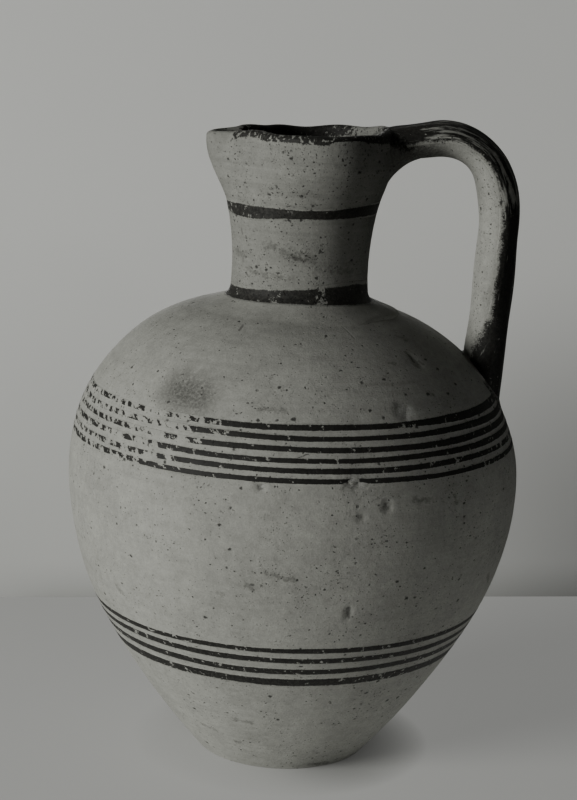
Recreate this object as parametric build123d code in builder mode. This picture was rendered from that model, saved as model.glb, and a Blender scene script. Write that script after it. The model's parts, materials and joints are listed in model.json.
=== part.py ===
# Wheel-made oinochoe: a thrown body, a thrown neck pinched to a trefoil mouth, a pulled handle,
# the clay that lutes them together, and the painted bands as thin coats of slip.
# Millimetres and degrees. The foot stands on Z = 0, the handle is toward +X, the spout toward -X.

import os
from math import cos, exp, radians, sin, sqrt

from build123d import *

# Body: three tangent arcs from the foot to the shoulder
foot_radius = 40.0
foot_lean = 48.8
foot_round = 1.5
lower_bend = 382.0
lower_turn = 12.1
belly_bend = 141.5
belly_turn = 27.1
shoulder_bend = 80.2
body_wall = 6.0
floor_thickness = 9.0

# Neck and trefoil mouth
neck_height = 77.6
neck_waist = 31.0
waist_rise = 15.5
flare_bend = 128.0
neck_wall = 5.0
neck_seat = 1.5
flare_start = 43.5
lobe_radius = 39.5
spout_reach = 5.1
spout_spread = 16.0
pinch_angle = 24.0
pinch_spread = 10.0
pinch_depth = 4.4
lip_round = 1.4

# Handle
handle_width = 27.0
crown_thickness = 15.6
grip_thickness = 18.3
lip_lap = 3.4
lip_drop = 5.2
lip_heading = 9.2
lip_run = 22.0
crown_bend = 25.0
crown_turn = 75.0
grip_bend = 55.0
grip_turn = 27.2
root_bite = 12.0
swell_start = 0.2
swell_end = 0.5
handle_stations = 12

# Luting clay at the three joins
collar_radius = 49.5
collar_thickness = 0.9
neck_fillet = 7.0
root_pad = 2.2
root_pad_height = 2.6
throat_reach = 19.0
throat_depth = 8.5
throat_lip = 0.6

# Painted coats
paint = 0.25
shoulder_bands = 6
shoulder_band_top = 174.0
shoulder_band_pitch = 4.16
shoulder_band_width = 2.3
belly_bands = 4
belly_band_top = 75.7
belly_band_pitch = 4.95
belly_band_growth = 0.3
belly_band_width = 2.6
belly_band_broader = 0.7
upper_band_rise = 43.0
upper_band_width = 4.0
lower_band_rise = 9.4
lower_band_width = 6.0
rim_paint_depth = 2.6

outline_points = 48


def wall_arcs(out=0.0):
    lean = radians(foot_lean)
    start = (foot_radius + out * sin(lean), -out * cos(lean))
    lower = JernArc(start, (cos(lean), sin(lean)), lower_bend + out, lower_turn)
    belly = JernArc(lower @ 1, lower % 1, belly_bend + out, belly_turn)
    level = 180 - foot_lean - lower_turn - belly_turn
    shoulder = JernArc(belly @ 1, belly % 1, shoulder_bend + out, level)
    return lower, shoulder


def wall_face(out=0.0, mode=Mode.ADD):
    with BuildLine() as outline:
        lower, shoulder = wall_arcs(out)
        bottom = lower @ 0
        top = shoulder @ 1
        Polyline(top, (0, top.Y), (0, bottom.Y), bottom)
    make_face(outline.edges(), mode=mode)


def wall_solid(out=0.0):
    with BuildPart() as form:
        with BuildSketch(Plane.XZ):
            wall_face(out)
        revolve(axis=Axis.Z)
    return form.part


# Places that follow from the body
with BuildLine(Plane.XZ) as wall_line:
    lower_arc, shoulder_arc = wall_arcs()
shoulder_center = shoulder_arc.arc_center
shoulder_top = (shoulder_arc @ 1).Z
waist_height = shoulder_top + waist_rise
rim_height = shoulder_top + neck_height
rim_low = rim_height - rim_paint_depth
tenon_bottom = shoulder_top - body_wall


def smooth(value):
    held = min(max(value, 0.0), 1.0)
    return held * held * (3 - 2 * held)


def tube_radius(height):
    return neck_waist + (height - waist_height) ** 2 / (2 * flare_bend)


# The mouth seen from above: angle 0 is the spout, a pinch stands on each side of it
def rim_radius(angle):
    spout = spout_reach * exp(-(angle / spout_spread) ** 4)
    pinch = pinch_depth * exp(-((abs(angle) - pinch_angle) / pinch_spread) ** 2)
    return lobe_radius + spout - pinch


def mouth_point(step, height, out):
    angle = 360 * step / outline_points - 180
    share = smooth((height - shoulder_top - flare_start) / (neck_height - flare_start))
    radius = tube_radius(height) * (1 - share) + rim_radius(angle) * share + out
    return -radius * cos(radians(angle)), -radius * sin(radians(angle))


def mouth_solid(heights, out=0.0):
    with BuildPart() as form:
        for height in heights:
            with BuildSketch(Plane.XY.offset(height)):
                with BuildLine():
                    ring = [mouth_point(step, height, out) for step in range(outline_points)]
                    Spline(*ring, periodic=True)
                make_face()
        loft()
    return form.part


neck_rises = [0.12, 0.26, 0.40, 0.52, 0.62, 0.71, 0.80, 0.89, 0.95, 1]
neck_heights = [tenon_bottom] + [shoulder_top + rise * neck_height for rise in neck_rises]
body_form = wall_solid()
neck_form = mouth_solid(neck_heights)
opening_radius = tube_radius(shoulder_top) - neck_seat

# Body: foot, belly and shoulder thrown in one, open at the top for the neck
with BuildSketch(Plane.XZ) as floor_section:
    wall_face()
    with Locations((0, floor_thickness / 2)):
        Rectangle(4 * foot_radius, floor_thickness, mode=Mode.INTERSECT)

with BuildPart() as body:
    with BuildSketch(Plane.XZ):
        wall_face()
        wall_face(-body_wall, Mode.SUBTRACT)
        add(floor_section.sketch_local)
    revolve(axis=Axis.Z)
    with Locations((0, 0, shoulder_top)):
        Cylinder(opening_radius, 3 * body_wall, mode=Mode.SUBTRACT)
    foot_edge = body.edges().filter_by(GeomType.CIRCLE).group_by(Axis.Z)[0]
    fillet(foot_edge, foot_round)

# Neck: its foot is a tenon in the shoulder opening, its mouth is pinched to three lobes
with BuildPart() as neck:
    add(neck_form)
    add(mouth_solid(neck_heights, -neck_wall), mode=Mode.SUBTRACT)
    add(body.part, mode=Mode.SUBTRACT)
    lip_edges = neck.edges().group_by(Axis.Z)[-1]
    fillet(lip_edges, lip_round)

# Handle: an oval strap from the back of the lip, over the crown and straight down to the shoulder
lip_back = rim_radius(180) - lip_lap
with BuildLine(Plane.XZ) as handle_path:
    lip_leg = PolarLine((lip_back, rim_height - lip_drop), lip_run, lip_heading)
    crown = JernArc(lip_leg @ 1, lip_leg % 1, crown_bend, -crown_turn)
    grip = JernArc(crown @ 1, crown % 1, grip_bend, -grip_turn)
    from_center = (grip @ 1) - shoulder_center
    closing = from_center.dot(grip % 1)
    to_shoulder = -closing - sqrt(closing**2 - from_center.length**2 + shoulder_bend**2)
    leg = PolarLine(grip @ 1, to_shoulder + root_bite, direction=grip % 1)
path = handle_path.wires()[0]


def handle_section(along, grow=0.0, mode=Mode.ADD):
    swell = smooth((along - swell_start) / (swell_end - swell_start))
    thickness = crown_thickness + (grip_thickness - crown_thickness) * swell
    Ellipse(handle_width / 2 + grow, thickness / 2 + grow, mode=mode)


def handle_plane(along):
    return Plane(origin=path @ along, x_dir=(0, 1, 0), z_dir=path % along)


def handle_solid(grow=0.0):
    with BuildPart() as form:
        for station in range(handle_stations + 1):
            along = station / handle_stations
            with BuildSketch(handle_plane(along)):
                handle_section(along, grow)
        loft()
    return form.part


handle_form = handle_solid()

with BuildPart() as handle:
    add(handle_form)
    add(neck_form, mode=Mode.SUBTRACT)
    add(body_form, mode=Mode.SUBTRACT)

# Luting clay round the foot of the neck, smoothed out over the shoulder as a thin collar
fillet_top = shoulder_top + neck_fillet
fillet_center = tube_radius(fillet_top) + neck_fillet

with BuildPart() as neck_luting:
    with BuildSketch(Plane.XZ):
        wall_face(collar_thickness)
        with Locations((0, shoulder_top)):
            Rectangle(2 * collar_radius, 2 * neck_height, mode=Mode.INTERSECT)
        with Locations((fillet_center / 2, shoulder_top)):
            Rectangle(fillet_center, 2 * neck_fillet)
        with Locations((fillet_center, fillet_top)):
            Circle(neck_fillet, mode=Mode.SUBTRACT)
    revolve(axis=Axis.Z)
    add(neck_form, mode=Mode.SUBTRACT)
    add(body_form, mode=Mode.SUBTRACT)

# Luting clay under the handle where it leaves the neck, thinning out along the strap
with BuildPart() as throat_luting:
    for share in [0, 0.5, 1]:
        along = share * throat_reach / path.length
        depth = throat_depth * (1 - share) ** 2 + throat_lip
        with BuildSketch(handle_plane(along)):
            Ellipse(handle_width / 2 + throat_lip, crown_thickness / 2 + depth)
            with Locations((0, -handle_width)):
                Rectangle(2 * handle_width, 2 * handle_width, mode=Mode.INTERSECT)
    loft()
    add(handle_form, mode=Mode.SUBTRACT)
    add(neck_form, mode=Mode.SUBTRACT)

# Luting clay round the root of the handle on the shoulder
pad_form = wall_solid(root_pad_height)
with BuildPart() as root_luting:
    add(handle_solid(root_pad))
    add(pad_form, mode=Mode.INTERSECT)
    add(handle_form, mode=Mode.SUBTRACT)
    add(body_form, mode=Mode.SUBTRACT)

clay = [body, neck, handle, neck_luting, throat_luting, root_luting]
names = ["body", "neck", "handle", "neck_luting", "throat_luting", "root_luting"]
for piece, name in zip(clay, names):
    piece.part.label = name


# Painted bands of the body: rings cut from a thin coat over the wall
def wall_band(height, width):
    with BuildPart() as band:
        with BuildSketch(Plane.XZ):
            wall_face(paint)
            wall_face(mode=Mode.SUBTRACT)
            with Locations((2 * shoulder_bend, height)):
                Rectangle(4 * shoulder_bend, width, mode=Mode.INTERSECT)
        revolve(axis=Axis.Z)
        add(handle_form, mode=Mode.SUBTRACT)
        add(root_luting.part, mode=Mode.SUBTRACT)
    return band.part


coats = []
for index in range(shoulder_bands):
    coat = wall_band(shoulder_band_top - index * shoulder_band_pitch, shoulder_band_width)
    coat.label = f"shoulder_band_{index + 1}"
    coats.append(coat)

for index in range(belly_bands):
    drop = index * (belly_band_pitch + index * belly_band_growth)
    coat = wall_band(belly_band_top - drop, belly_band_width + index * belly_band_broader)
    coat.label = f"belly_band_{index + 1}"
    coats.append(coat)

# Painted bands of the neck
upper_low = shoulder_top + upper_band_rise - upper_band_width / 2
with BuildPart() as upper_band:
    add(mouth_solid(neck_heights, paint))
    split(bisect_by=Plane.XY.offset(upper_low), keep=Keep.TOP)
    split(bisect_by=Plane.XY.offset(upper_low + upper_band_width), keep=Keep.BOTTOM)
    add(neck_form, mode=Mode.SUBTRACT)
upper_band.part.label = "neck_band_upper"
coats.append(upper_band.part)

with BuildPart() as lower_band:
    with BuildSketch(Plane.XZ):
        with Locations((fillet_center / 2, shoulder_top + lower_band_rise - lower_band_width / 2)):
            Rectangle(fillet_center, lower_band_width)
        with Locations((fillet_center, fillet_top)):
            Circle(neck_fillet - paint, mode=Mode.SUBTRACT)
        with Locations((fillet_center, fillet_top + neck_fillet)):
            Rectangle(2 * (neck_fillet - paint), 2 * neck_fillet, mode=Mode.SUBTRACT)
    revolve(axis=Axis.Z)
    add(neck_form, mode=Mode.SUBTRACT)
    add(neck_luting.part, mode=Mode.SUBTRACT)
    add(body_form, mode=Mode.SUBTRACT)
lower_band.part.label = "neck_band_lower"
coats.append(lower_band.part)

# Paint over the lip, round its edge and a little way down on both sides
rim_heights = [rim_low, (rim_low + rim_height) / 2, rim_height]
coat_heights = [rim_low, (rim_low + rim_height) / 2, rim_height + paint]
with BuildPart() as lip:
    add(mouth_solid(rim_heights))
    add(mouth_solid(rim_heights, -neck_wall), mode=Mode.SUBTRACT)
    fillet(lip.edges().group_by(Axis.Z)[-1], lip_round)

with BuildPart() as rim_paint:
    add(mouth_solid(coat_heights, paint))
    add(mouth_solid(coat_heights, -neck_wall - paint), mode=Mode.SUBTRACT)
    fillet(rim_paint.edges().group_by(Axis.Z)[-1], lip_round + paint)
    add(handle_solid(2 * paint), mode=Mode.SUBTRACT)
    add(lip.part, mode=Mode.SUBTRACT)
rim_paint.part.label = "rim_paint"
coats.append(rim_paint.part)

# Paint on the back of the handle, down to the middle of its sides
with BuildPart() as handle_paint:
    for station in range(handle_stations + 1):
        along = station / handle_stations
        with BuildSketch(handle_plane(along)):
            handle_section(along, paint)
            handle_section(along, mode=Mode.SUBTRACT)
            with Locations((0, handle_width)):
                Rectangle(2 * handle_width, 2 * handle_width, mode=Mode.INTERSECT)
    loft()
    add(neck_form, mode=Mode.SUBTRACT)
    add(pad_form, mode=Mode.SUBTRACT)
handle_paint.part.label = "handle_paint"
coats.append(handle_paint.part)

os.makedirs("parts", exist_ok=True)
for piece in [part.part for part in clay] + coats:
    export_step(piece, f"parts/{piece.label}.step")
    print(piece.label, round(piece.volume), len(piece.solids()))
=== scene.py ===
import json
import math

import bmesh
import bpy
import numpy as np
from mathutils import Matrix, Vector

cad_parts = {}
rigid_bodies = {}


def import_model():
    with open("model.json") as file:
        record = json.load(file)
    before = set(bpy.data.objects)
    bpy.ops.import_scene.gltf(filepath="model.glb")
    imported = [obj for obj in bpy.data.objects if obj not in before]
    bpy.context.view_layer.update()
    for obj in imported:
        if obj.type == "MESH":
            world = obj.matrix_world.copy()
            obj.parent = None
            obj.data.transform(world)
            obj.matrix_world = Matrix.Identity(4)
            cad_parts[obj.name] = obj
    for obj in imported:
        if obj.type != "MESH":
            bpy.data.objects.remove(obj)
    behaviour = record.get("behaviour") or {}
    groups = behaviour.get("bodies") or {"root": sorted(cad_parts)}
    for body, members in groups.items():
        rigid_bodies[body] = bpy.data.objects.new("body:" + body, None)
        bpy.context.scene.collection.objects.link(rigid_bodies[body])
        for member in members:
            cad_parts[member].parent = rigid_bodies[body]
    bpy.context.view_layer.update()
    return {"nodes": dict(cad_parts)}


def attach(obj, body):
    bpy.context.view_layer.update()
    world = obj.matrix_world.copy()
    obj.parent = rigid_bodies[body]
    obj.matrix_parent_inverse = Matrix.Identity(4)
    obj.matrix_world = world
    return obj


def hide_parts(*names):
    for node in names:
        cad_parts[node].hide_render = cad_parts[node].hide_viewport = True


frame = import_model()
print("frame loaded:", len(frame["nodes"]), "nodes")

# All shapes are worked out in millimetres. Angles run from the front (-Y) round toward the handle (+X).
metre = 0.001
turn = 2 * math.pi


def ramp(value, low, high):
    held = np.clip((np.asarray(value, float) - low) / (high - low), 0.0, 1.0)
    return held * held * (3 - 2 * held)


def hump(value, middle, spread):
    return np.exp(-(((value - middle) / spread) ** 2))


# Rises and dips on top of a value: size, middle and spread of each
def withHumps(base, value, rows):
    for size, middle, spread in rows:
        base = base + size * hump(value, middle, spread)
    return base


def ring(count):
    return np.arange(count) * turn / count - math.pi


def aroundAxis(radius, angle, height):
    return np.stack((radius * np.sin(angle), -radius * np.cos(angle), height + 0 * angle), axis=-1)


# The pot as it came off the wheel: a little out of round, the left of the shoulder fuller than the right
thrown = {
    "lean": 0.018, "leanTop": 0.010, "bellyShift": 0.6, "oval": 0.20, "threeLobed": 0.12, "lumps": 0.07,
    # from and to, in mm: where the lean sets in, grows and ends, and how far out it is full
    "leanStarts": (138, 166), "leanGrows": (184, 202), "leanEnds": (212, 246), "leanOutside": (33, 46),
    "trueFoot": (0, 12), "bellyHeight": 115, "bellySpread": 32,
}


def settle(points):
    x, y, z = points[..., 0], points[..., 1], points[..., 2]
    radius = np.hypot(x, y)
    angle = np.arctan2(x, -y)
    lean = thrown["lean"] * ramp(z, *thrown["leanStarts"]) + thrown["leanTop"] * ramp(z, *thrown["leanGrows"])
    lean = lean * (1 - ramp(z, *thrown["leanEnds"])) * ramp(radius, *thrown["leanOutside"])
    wobble = thrown["oval"] * np.sin(2 * angle + 0.7 + 0.013 * z)
    wobble = wobble + thrown["threeLobed"] * np.sin(3 * angle - 1.1 - 0.021 * z)
    wobble = wobble + thrown["lumps"] * np.sin(7 * angle + 0.11 * z) * np.sin(0.083 * z + 2.0)
    grow = 1 + wobble * ramp(z, *thrown["trueFoot"]) / np.maximum(radius, 30)
    moved = np.array(points, float)
    moved[..., 0] = x * grow + thrown["bellyShift"] * hump(z, thrown["bellyHeight"], thrown["bellySpread"])
    moved[..., 1] = y * grow
    moved[..., 2] = z - lean * x
    return moved


# Mesh from rings of points: each ring is a closed loop, wrap joins the last ring to the first
def skin(name, rings, wrap=False, marks=None):
    rows, columns = rings.shape[:2]
    index = np.arange(rows * columns).reshape(rows, columns)
    lower = index if wrap else index[:-1]
    upper = np.roll(index, -1, axis=0) if wrap else index[1:]
    quads = np.stack((lower, np.roll(lower, -1, axis=1), np.roll(upper, -1, axis=1), upper), axis=-1)
    faces = quads.reshape(-1, 4).tolist()
    if not wrap:
        faces.append(index[0][::-1].tolist())
        faces.append(index[-1].tolist())
    mesh = bpy.data.meshes.new(name)
    mesh.from_pydata((rings.reshape(-1, 3) * metre).tolist(), [], faces)
    for label, values in (marks or {}).items():
        layer = mesh.attributes.new(label, "FLOAT", "POINT")
        layer.data.foreach_set("value", np.broadcast_to(values, (rows, columns)).astype(np.float32).ravel())
    work = bmesh.new()
    work.from_mesh(mesh)
    bmesh.ops.recalc_face_normals(work, faces=work.faces)
    work.to_mesh(mesh)
    work.free()
    mesh.shade_smooth()
    piece = bpy.data.objects.new(name, mesh)
    bpy.context.scene.collection.objects.link(piece)
    return piece


def finishPiece(piece, node, material):
    piece.data.materials.append(material)
    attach(piece, "root")
    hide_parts(node)


# Shader helpers: a socket or a number may stand on either side
def put(tree, socket, value):
    if isinstance(value, bpy.types.NodeSocket):
        tree.links.new(value, socket)
    else:
        socket.default_value = value


def sums(tree, operation, first, second=0.0, third=None, clamp=False):
    node = tree.nodes.new("ShaderNodeMath")
    node.operation = operation
    node.use_clamp = clamp
    put(tree, node.inputs[0], first)
    put(tree, node.inputs[1], second)
    if third is not None:
        put(tree, node.inputs[2], third)
    return node.outputs[0]


def offMiddle(tree, value):
    return sums(tree, "SUBTRACT", value, 0.5)


def oneMinus(tree, value):
    return sums(tree, "SUBTRACT", 1.0, value)


def vectors(tree, operation, first, second=None, scale=None):
    node = tree.nodes.new("ShaderNodeVectorMath")
    node.operation = operation
    put(tree, node.inputs[0], first)
    if second is not None:
        put(tree, node.inputs[1], second)
    if scale is not None:
        put(tree, node.inputs["Scale"], scale)
    return node.outputs["Value"] if operation in ("LENGTH", "DOT_PRODUCT") else node.outputs["Vector"]


def cloud(tree, place, scale, detail=2.0, rough=0.5):
    node = tree.nodes.new("ShaderNodeTexNoise")
    put(tree, node.inputs["Vector"], place)
    put(tree, node.inputs["Scale"], scale)
    put(tree, node.inputs["Detail"], detail)
    put(tree, node.inputs["Roughness"], rough)
    return node.outputs["Fac"]


def cells(tree, place, scale):
    node = tree.nodes.new("ShaderNodeTexVoronoi")
    put(tree, node.inputs["Vector"], place)
    put(tree, node.inputs["Scale"], scale)
    return node.outputs["Distance"], node.outputs["Color"]


def slope(tree, value, low, high, start=0.0, end=1.0):
    node = tree.nodes.new("ShaderNodeMapRange")
    node.interpolation_type = "SMOOTHSTEP"
    put(tree, node.inputs["Value"], value)
    put(tree, node.inputs["From Min"], low)
    put(tree, node.inputs["From Max"], high)
    put(tree, node.inputs["To Min"], start)
    put(tree, node.inputs["To Max"], end)
    return node.outputs["Result"]


# 0 below the level, 1 above it, with a soft step between
def stepAt(tree, value, level, soft):
    return slope(tree, value, sums(tree, "SUBTRACT", level, soft), sums(tree, "ADD", level, soft))


def blendColor(tree, share, first, second):
    node = tree.nodes.new("ShaderNodeMix")
    node.data_type = "RGBA"
    put(tree, node.inputs["Factor"], share)
    put(tree, node.inputs[6], first)
    put(tree, node.inputs[7], second)
    return node.outputs[2]


def potPlace(tree):
    where = tree.nodes.new("ShaderNodeTexCoord")
    return vectors(tree, "SCALE", where.outputs["Object"], scale=1000.0)


def newGroup(name, inputs, outputs):
    group = bpy.data.node_groups.new(name, "ShaderNodeTree")
    for label, kind, value in inputs:
        socket = group.interface.new_socket(label, in_out="INPUT", socket_type=kind)
        socket.default_value = value
    for label, kind in outputs:
        group.interface.new_socket(label, in_out="OUTPUT", socket_type=kind)
    return group, group.nodes.new("NodeGroupInput").outputs, group.nodes.new("NodeGroupOutput").inputs


def useGroup(tree, group, **values):
    node = tree.nodes.new("ShaderNodeGroup")
    node.node_tree = group
    for label, value in values.items():
        put(tree, node.inputs[label], value)
    return node.outputs


number, color, vector = "NodeSocketFloat", "NodeSocketColor", "NodeSocketVector"


# Fired clay: cloudy tone, wheel lines, fine grain, dark pits of three sizes, pale rubbed flecks
clayLooks = {
    # clouds per mm, detail, roughness, share in the tone: broad, patch, mottle and grain
    "clouds": (
        (0.022, 3.0, 0.55, 0.40),
        (0.10, 4.0, 0.62, 0.46),
        (0.34, 4.0, 0.7, 0.52),
        (1.3, 3.0, 0.7, 0.50),
    ),
    "lineTone": 0.22, "fleckTone": 0.18, "nickDark": 0.55, "dashDark": 0.30,
    # pits crowd together in places, and the handle's side has weathered more: from, to, least, most
    "crowd": (0.36, 0.66, 0.22, 1.15), "weather": (-40.0, 70.0, 0.85, 1.7),
    # pits: cells per mm, least and greatest reach in mm, share of cells with a pit, darkness
    "pits": (
        (0.80, 0.13, 0.28, 0.62, 0.66),
        (0.46, 0.22, 0.52, 0.46, 0.84),
        (0.21, 0.45, 1.05, 0.42, 0.82),
    ),
    "pitHeight": -0.9, "grainHeight": 0.30, "mottleHeight": 0.5, "lineHeight": 0.45,
}


def makeClayGrain():
    group, given, out = newGroup(
        "clayGrain",
        [("tone", color, (0.4, 0.4, 0.37, 1)), ("pitting", number, 1.0), ("wheel", number, 1.0)],
        [("color", color), ("roughness", number), ("height", number)],
    )
    place = potPlace(group)
    light = 1.0
    clouds = []
    for scale, detail, rough, share in clayLooks["clouds"]:
        clouds.append(cloud(group, place, scale, detail, rough))
        light = sums(group, "MULTIPLY_ADD", offMiddle(group, clouds[-1]), share, light)
    patch, mottle, grain = clouds[1:]
    flat = vectors(group, "MULTIPLY", place, (0.03, 0.03, 1.0))
    lines = cloud(group, flat, 0.42, 4.0, 0.6)
    wheelLight = sums(group, "MULTIPLY", offMiddle(group, lines), given["wheel"])
    light = sums(group, "MULTIPLY_ADD", wheelLight, clayLooks["lineTone"], light)

    axes = group.nodes.new("ShaderNodeSeparateXYZ")
    group.links.new(place, axes.inputs[0])
    weather = slope(group, axes.outputs[0], *clayLooks["weather"])
    crowd = slope(group, cloud(group, place, 0.06, 3.0), *clayLooks["crowd"])
    crowd = sums(group, "MULTIPLY", sums(group, "MULTIPLY", crowd, weather), given["pitting"])
    shift = cloud(group, place, 0.7, 3.0).node.outputs["Color"]
    warp = vectors(group, "SUBTRACT", shift, (0.5, 0.5, 0.5))
    crooked = vectors(group, "ADD", place, vectors(group, "SCALE", warp, scale=1.5))
    nicks = cloud(group, vectors(group, "MULTIPLY", crooked, (1.0, 1.0, 1.5)), 0.62, 4.0, 0.72)
    nickDark = sums(group, "MULTIPLY", crowd, clayLooks["nickDark"])
    pits = sums(group, "MULTIPLY", slope(group, nicks, 0.665, 0.72), nickDark)
    stretched = vectors(group, "MULTIPLY", crooked, (1.0, 1.0, 1.3))
    for scale, least, most, share, dark in clayLooks["pits"]:
        distance, chance = cells(group, stretched, scale)
        pick = group.nodes.new("ShaderNodeSeparateColor")
        group.links.new(chance, pick.inputs[0])
        size = sums(group, "MULTIPLY_ADD", pick.outputs[0], (most - least) * scale, least * scale)
        without = oneMinus(group, sums(group, "MULTIPLY", crowd, share))
        there = sums(group, "MULTIPLY", slope(group, pick.outputs[1], without, 1.02), 6.0, clamp=True)
        ragged = sums(group, "MULTIPLY_ADD", offMiddle(group, grain), 0.3 * scale, distance)
        floorEdge = sums(group, "MULTIPLY", size, 0.45)
        hole = slope(group, ragged, floorEdge, sums(group, "MULTIPLY", size, 1.25), 1.0, 0.0)
        hole = sums(group, "MULTIPLY", sums(group, "MULTIPLY", hole, there), dark)
        pits = sums(group, "MAXIMUM", pits, hole)
    dashes = cloud(group, vectors(group, "MULTIPLY", crooked, (0.45, 0.45, 1.5)), 0.5, 4.0, 0.7)
    dashDark = sums(group, "MULTIPLY", crowd, clayLooks["dashDark"])
    pits = sums(group, "MAXIMUM", pits, sums(group, "MULTIPLY", slope(group, dashes, 0.64, 0.73), dashDark))

    fleckPlace = vectors(group, "ADD", place, (31.0, 7.0, 5.0))
    fleck = slope(group, cloud(group, fleckPlace, 0.62, 3.0, 0.7), 0.66, 0.76)
    rubbed = sums(group, "MULTIPLY", fleck, weather)
    light = sums(group, "MULTIPLY_ADD", rubbed, clayLooks["fleckTone"], light)
    shade = sums(group, "MULTIPLY", light, oneMinus(group, pits))
    put(group, out["color"], vectors(group, "SCALE", given["tone"], scale=shade))
    put(group, out["roughness"], sums(group, "MULTIPLY_ADD", patch, 0.22, 0.74))
    height = sums(group, "MULTIPLY", pits, clayLooks["pitHeight"])
    height = sums(group, "MULTIPLY_ADD", grain, clayLooks["grainHeight"], height)
    height = sums(group, "MULTIPLY_ADD", mottle, clayLooks["mottleHeight"], height)
    wheelHeight = sums(group, "MULTIPLY", lines, given["wheel"])
    height = sums(group, "MULTIPLY_ADD", wheelHeight, clayLooks["lineHeight"], height)
    put(group, out["height"], sums(group, "MULTIPLY", height, weather))
    return group


# A spot or a stroke on the surface, between two points, with a ragged edge
def makeHandMark():
    group, given, out = newGroup(
        "handMark",
        [
            ("start", vector, (0, 0, 0)), ("end", vector, (0, 0, 1)),
            ("reach", number, 2.0), ("soft", number, 1.0), ("ragged", number, 0.5),
        ],
        [("mask", number)],
    )
    place = potPlace(group)
    along = vectors(group, "SUBTRACT", given["end"], given["start"])
    apart = vectors(group, "SUBTRACT", place, given["start"])
    length = sums(group, "ADD", vectors(group, "DOT_PRODUCT", along, along), 0.0001)
    share = sums(group, "DIVIDE", vectors(group, "DOT_PRODUCT", apart, along), length, clamp=True)
    nearest = vectors(group, "SCALE", along, scale=share)
    distance = vectors(group, "LENGTH", vectors(group, "SUBTRACT", apart, nearest))
    rough = offMiddle(group, cloud(group, place, 0.55, 4.0, 0.65))
    distance = sums(group, "MULTIPLY_ADD", sums(group, "MULTIPLY", rough, given["ragged"]), 2.6, distance)
    inner = sums(group, "SUBTRACT", given["reach"], given["soft"])
    mask = slope(group, distance, inner, given["reach"], 1.0, 0.0)
    broken = slope(group, cloud(group, place, 0.8, 4.0, 0.7), 0.30, 0.62, 0.35, 1.0)
    put(group, out["mask"], sums(group, "MULTIPLY", mask, broken))
    return group


# Brushed slip: uneven edge, streaks, flakes lost where it is worn
def makeSlipStroke():
    group, given, out = newGroup(
        "slipStroke",
        [
            ("across", number, 0.0), ("wear", number, 0.0), ("edge", number, 0.12),
            ("flake", number, 0.5), ("skew", vector, (0, 0, 0)),
        ],
        [("mask", number), ("thin", number)],
    )
    place = potPlace(group)
    upright = group.nodes.new("ShaderNodeSeparateXYZ")
    group.links.new(place, upright.inputs[0])
    slanted = vectors(group, "ADD", place, vectors(group, "SCALE", given["skew"], scale=upright.outputs[2]))
    coarse = offMiddle(group, cloud(group, place, 0.22, 3.0, 0.6))
    fine = offMiddle(group, cloud(group, place, 1.5, 2.0, 0.6))
    reach = sums(group, "ABSOLUTE", given["across"])
    reach = sums(group, "MULTIPLY_ADD", sums(group, "MULTIPLY", coarse, given["edge"]), 2.4, reach)
    reach = sums(group, "MULTIPLY_ADD", sums(group, "MULTIPLY", fine, given["edge"]), 1.8, reach)
    band = slope(group, reach, 0.66, 0.78, 1.0, 0.0)
    chips = cloud(group, slanted, given["flake"], 2.0, 0.55)
    specks = cloud(group, place, 1.6, 3.0, 0.65)
    chips = sums(group, "MULTIPLY_ADD", offMiddle(group, specks), 0.34, chips)
    kept = stepAt(group, chips, sums(group, "MULTIPLY_ADD", given["wear"], 0.48, 0.21), 0.03)
    put(group, out["mask"], sums(group, "MULTIPLY", band, kept))
    put(group, out["thin"], slope(group, cloud(group, place, 0.7, 4.0, 0.7), 0.38, 0.72))
    return group


clayGrain = makeClayGrain()
handMark = makeHandMark()
slipStroke = makeSlipStroke()
print("shader groups made")

surfaceLooks = {"specular": 0.25, "bumpStrength": 0.8, "clayBump": 0.0005, "handleBump": 0.0003}


def newMaterial(name):
    material = bpy.data.materials.new(name)
    material.use_nodes = True
    shader = material.node_tree.nodes["Principled BSDF"]
    shader.inputs["Specular IOR Level"].default_value = surfaceLooks["specular"]
    return material, material.node_tree, shader


def bumped(tree, shader, height, distance):
    node = tree.nodes.new("ShaderNodeBump")
    node.inputs["Strength"].default_value = surfaceLooks["bumpStrength"]
    node.inputs["Distance"].default_value = distance
    put(tree, node.inputs["Height"], height)
    tree.links.new(node.outputs["Normal"], shader.inputs["Normal"])


# Body wall: three arcs from the foot to the opening, each given by its bend and its turn
wallShape = {"footRadius": 40.0, "footLean": 48.8, "bends": (382.0, 141.5, 80.2), "turns": (12.1, 27.1, 92.0)}


def findWallArcs():
    arcs = []
    heading = math.radians(wallShape["footLean"])
    place = np.array((wallShape["footRadius"], 0.0))
    for bend, swing in zip(wallShape["bends"], wallShape["turns"]):
        centre = place + bend * np.array((-math.sin(heading), math.cos(heading)))
        arcs.append((heading, centre, bend))
        heading += math.radians(swing)
        place = centre + bend * np.array((math.sin(heading), -math.cos(heading)))
    return arcs, place[1]


wallArcs, shoulderTop = findWallArcs()


def wallPlace(heading, out=0.0):
    radius = np.zeros(np.shape(heading))
    height = np.zeros(np.shape(heading))
    for start, centre, bend in wallArcs:
        here = heading >= start - 1e-9
        radius = np.where(here, centre[0] + (bend + out) * np.sin(heading), radius)
        height = np.where(here, centre[1] - (bend + out) * np.cos(heading), height)
    return radius, height


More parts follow.
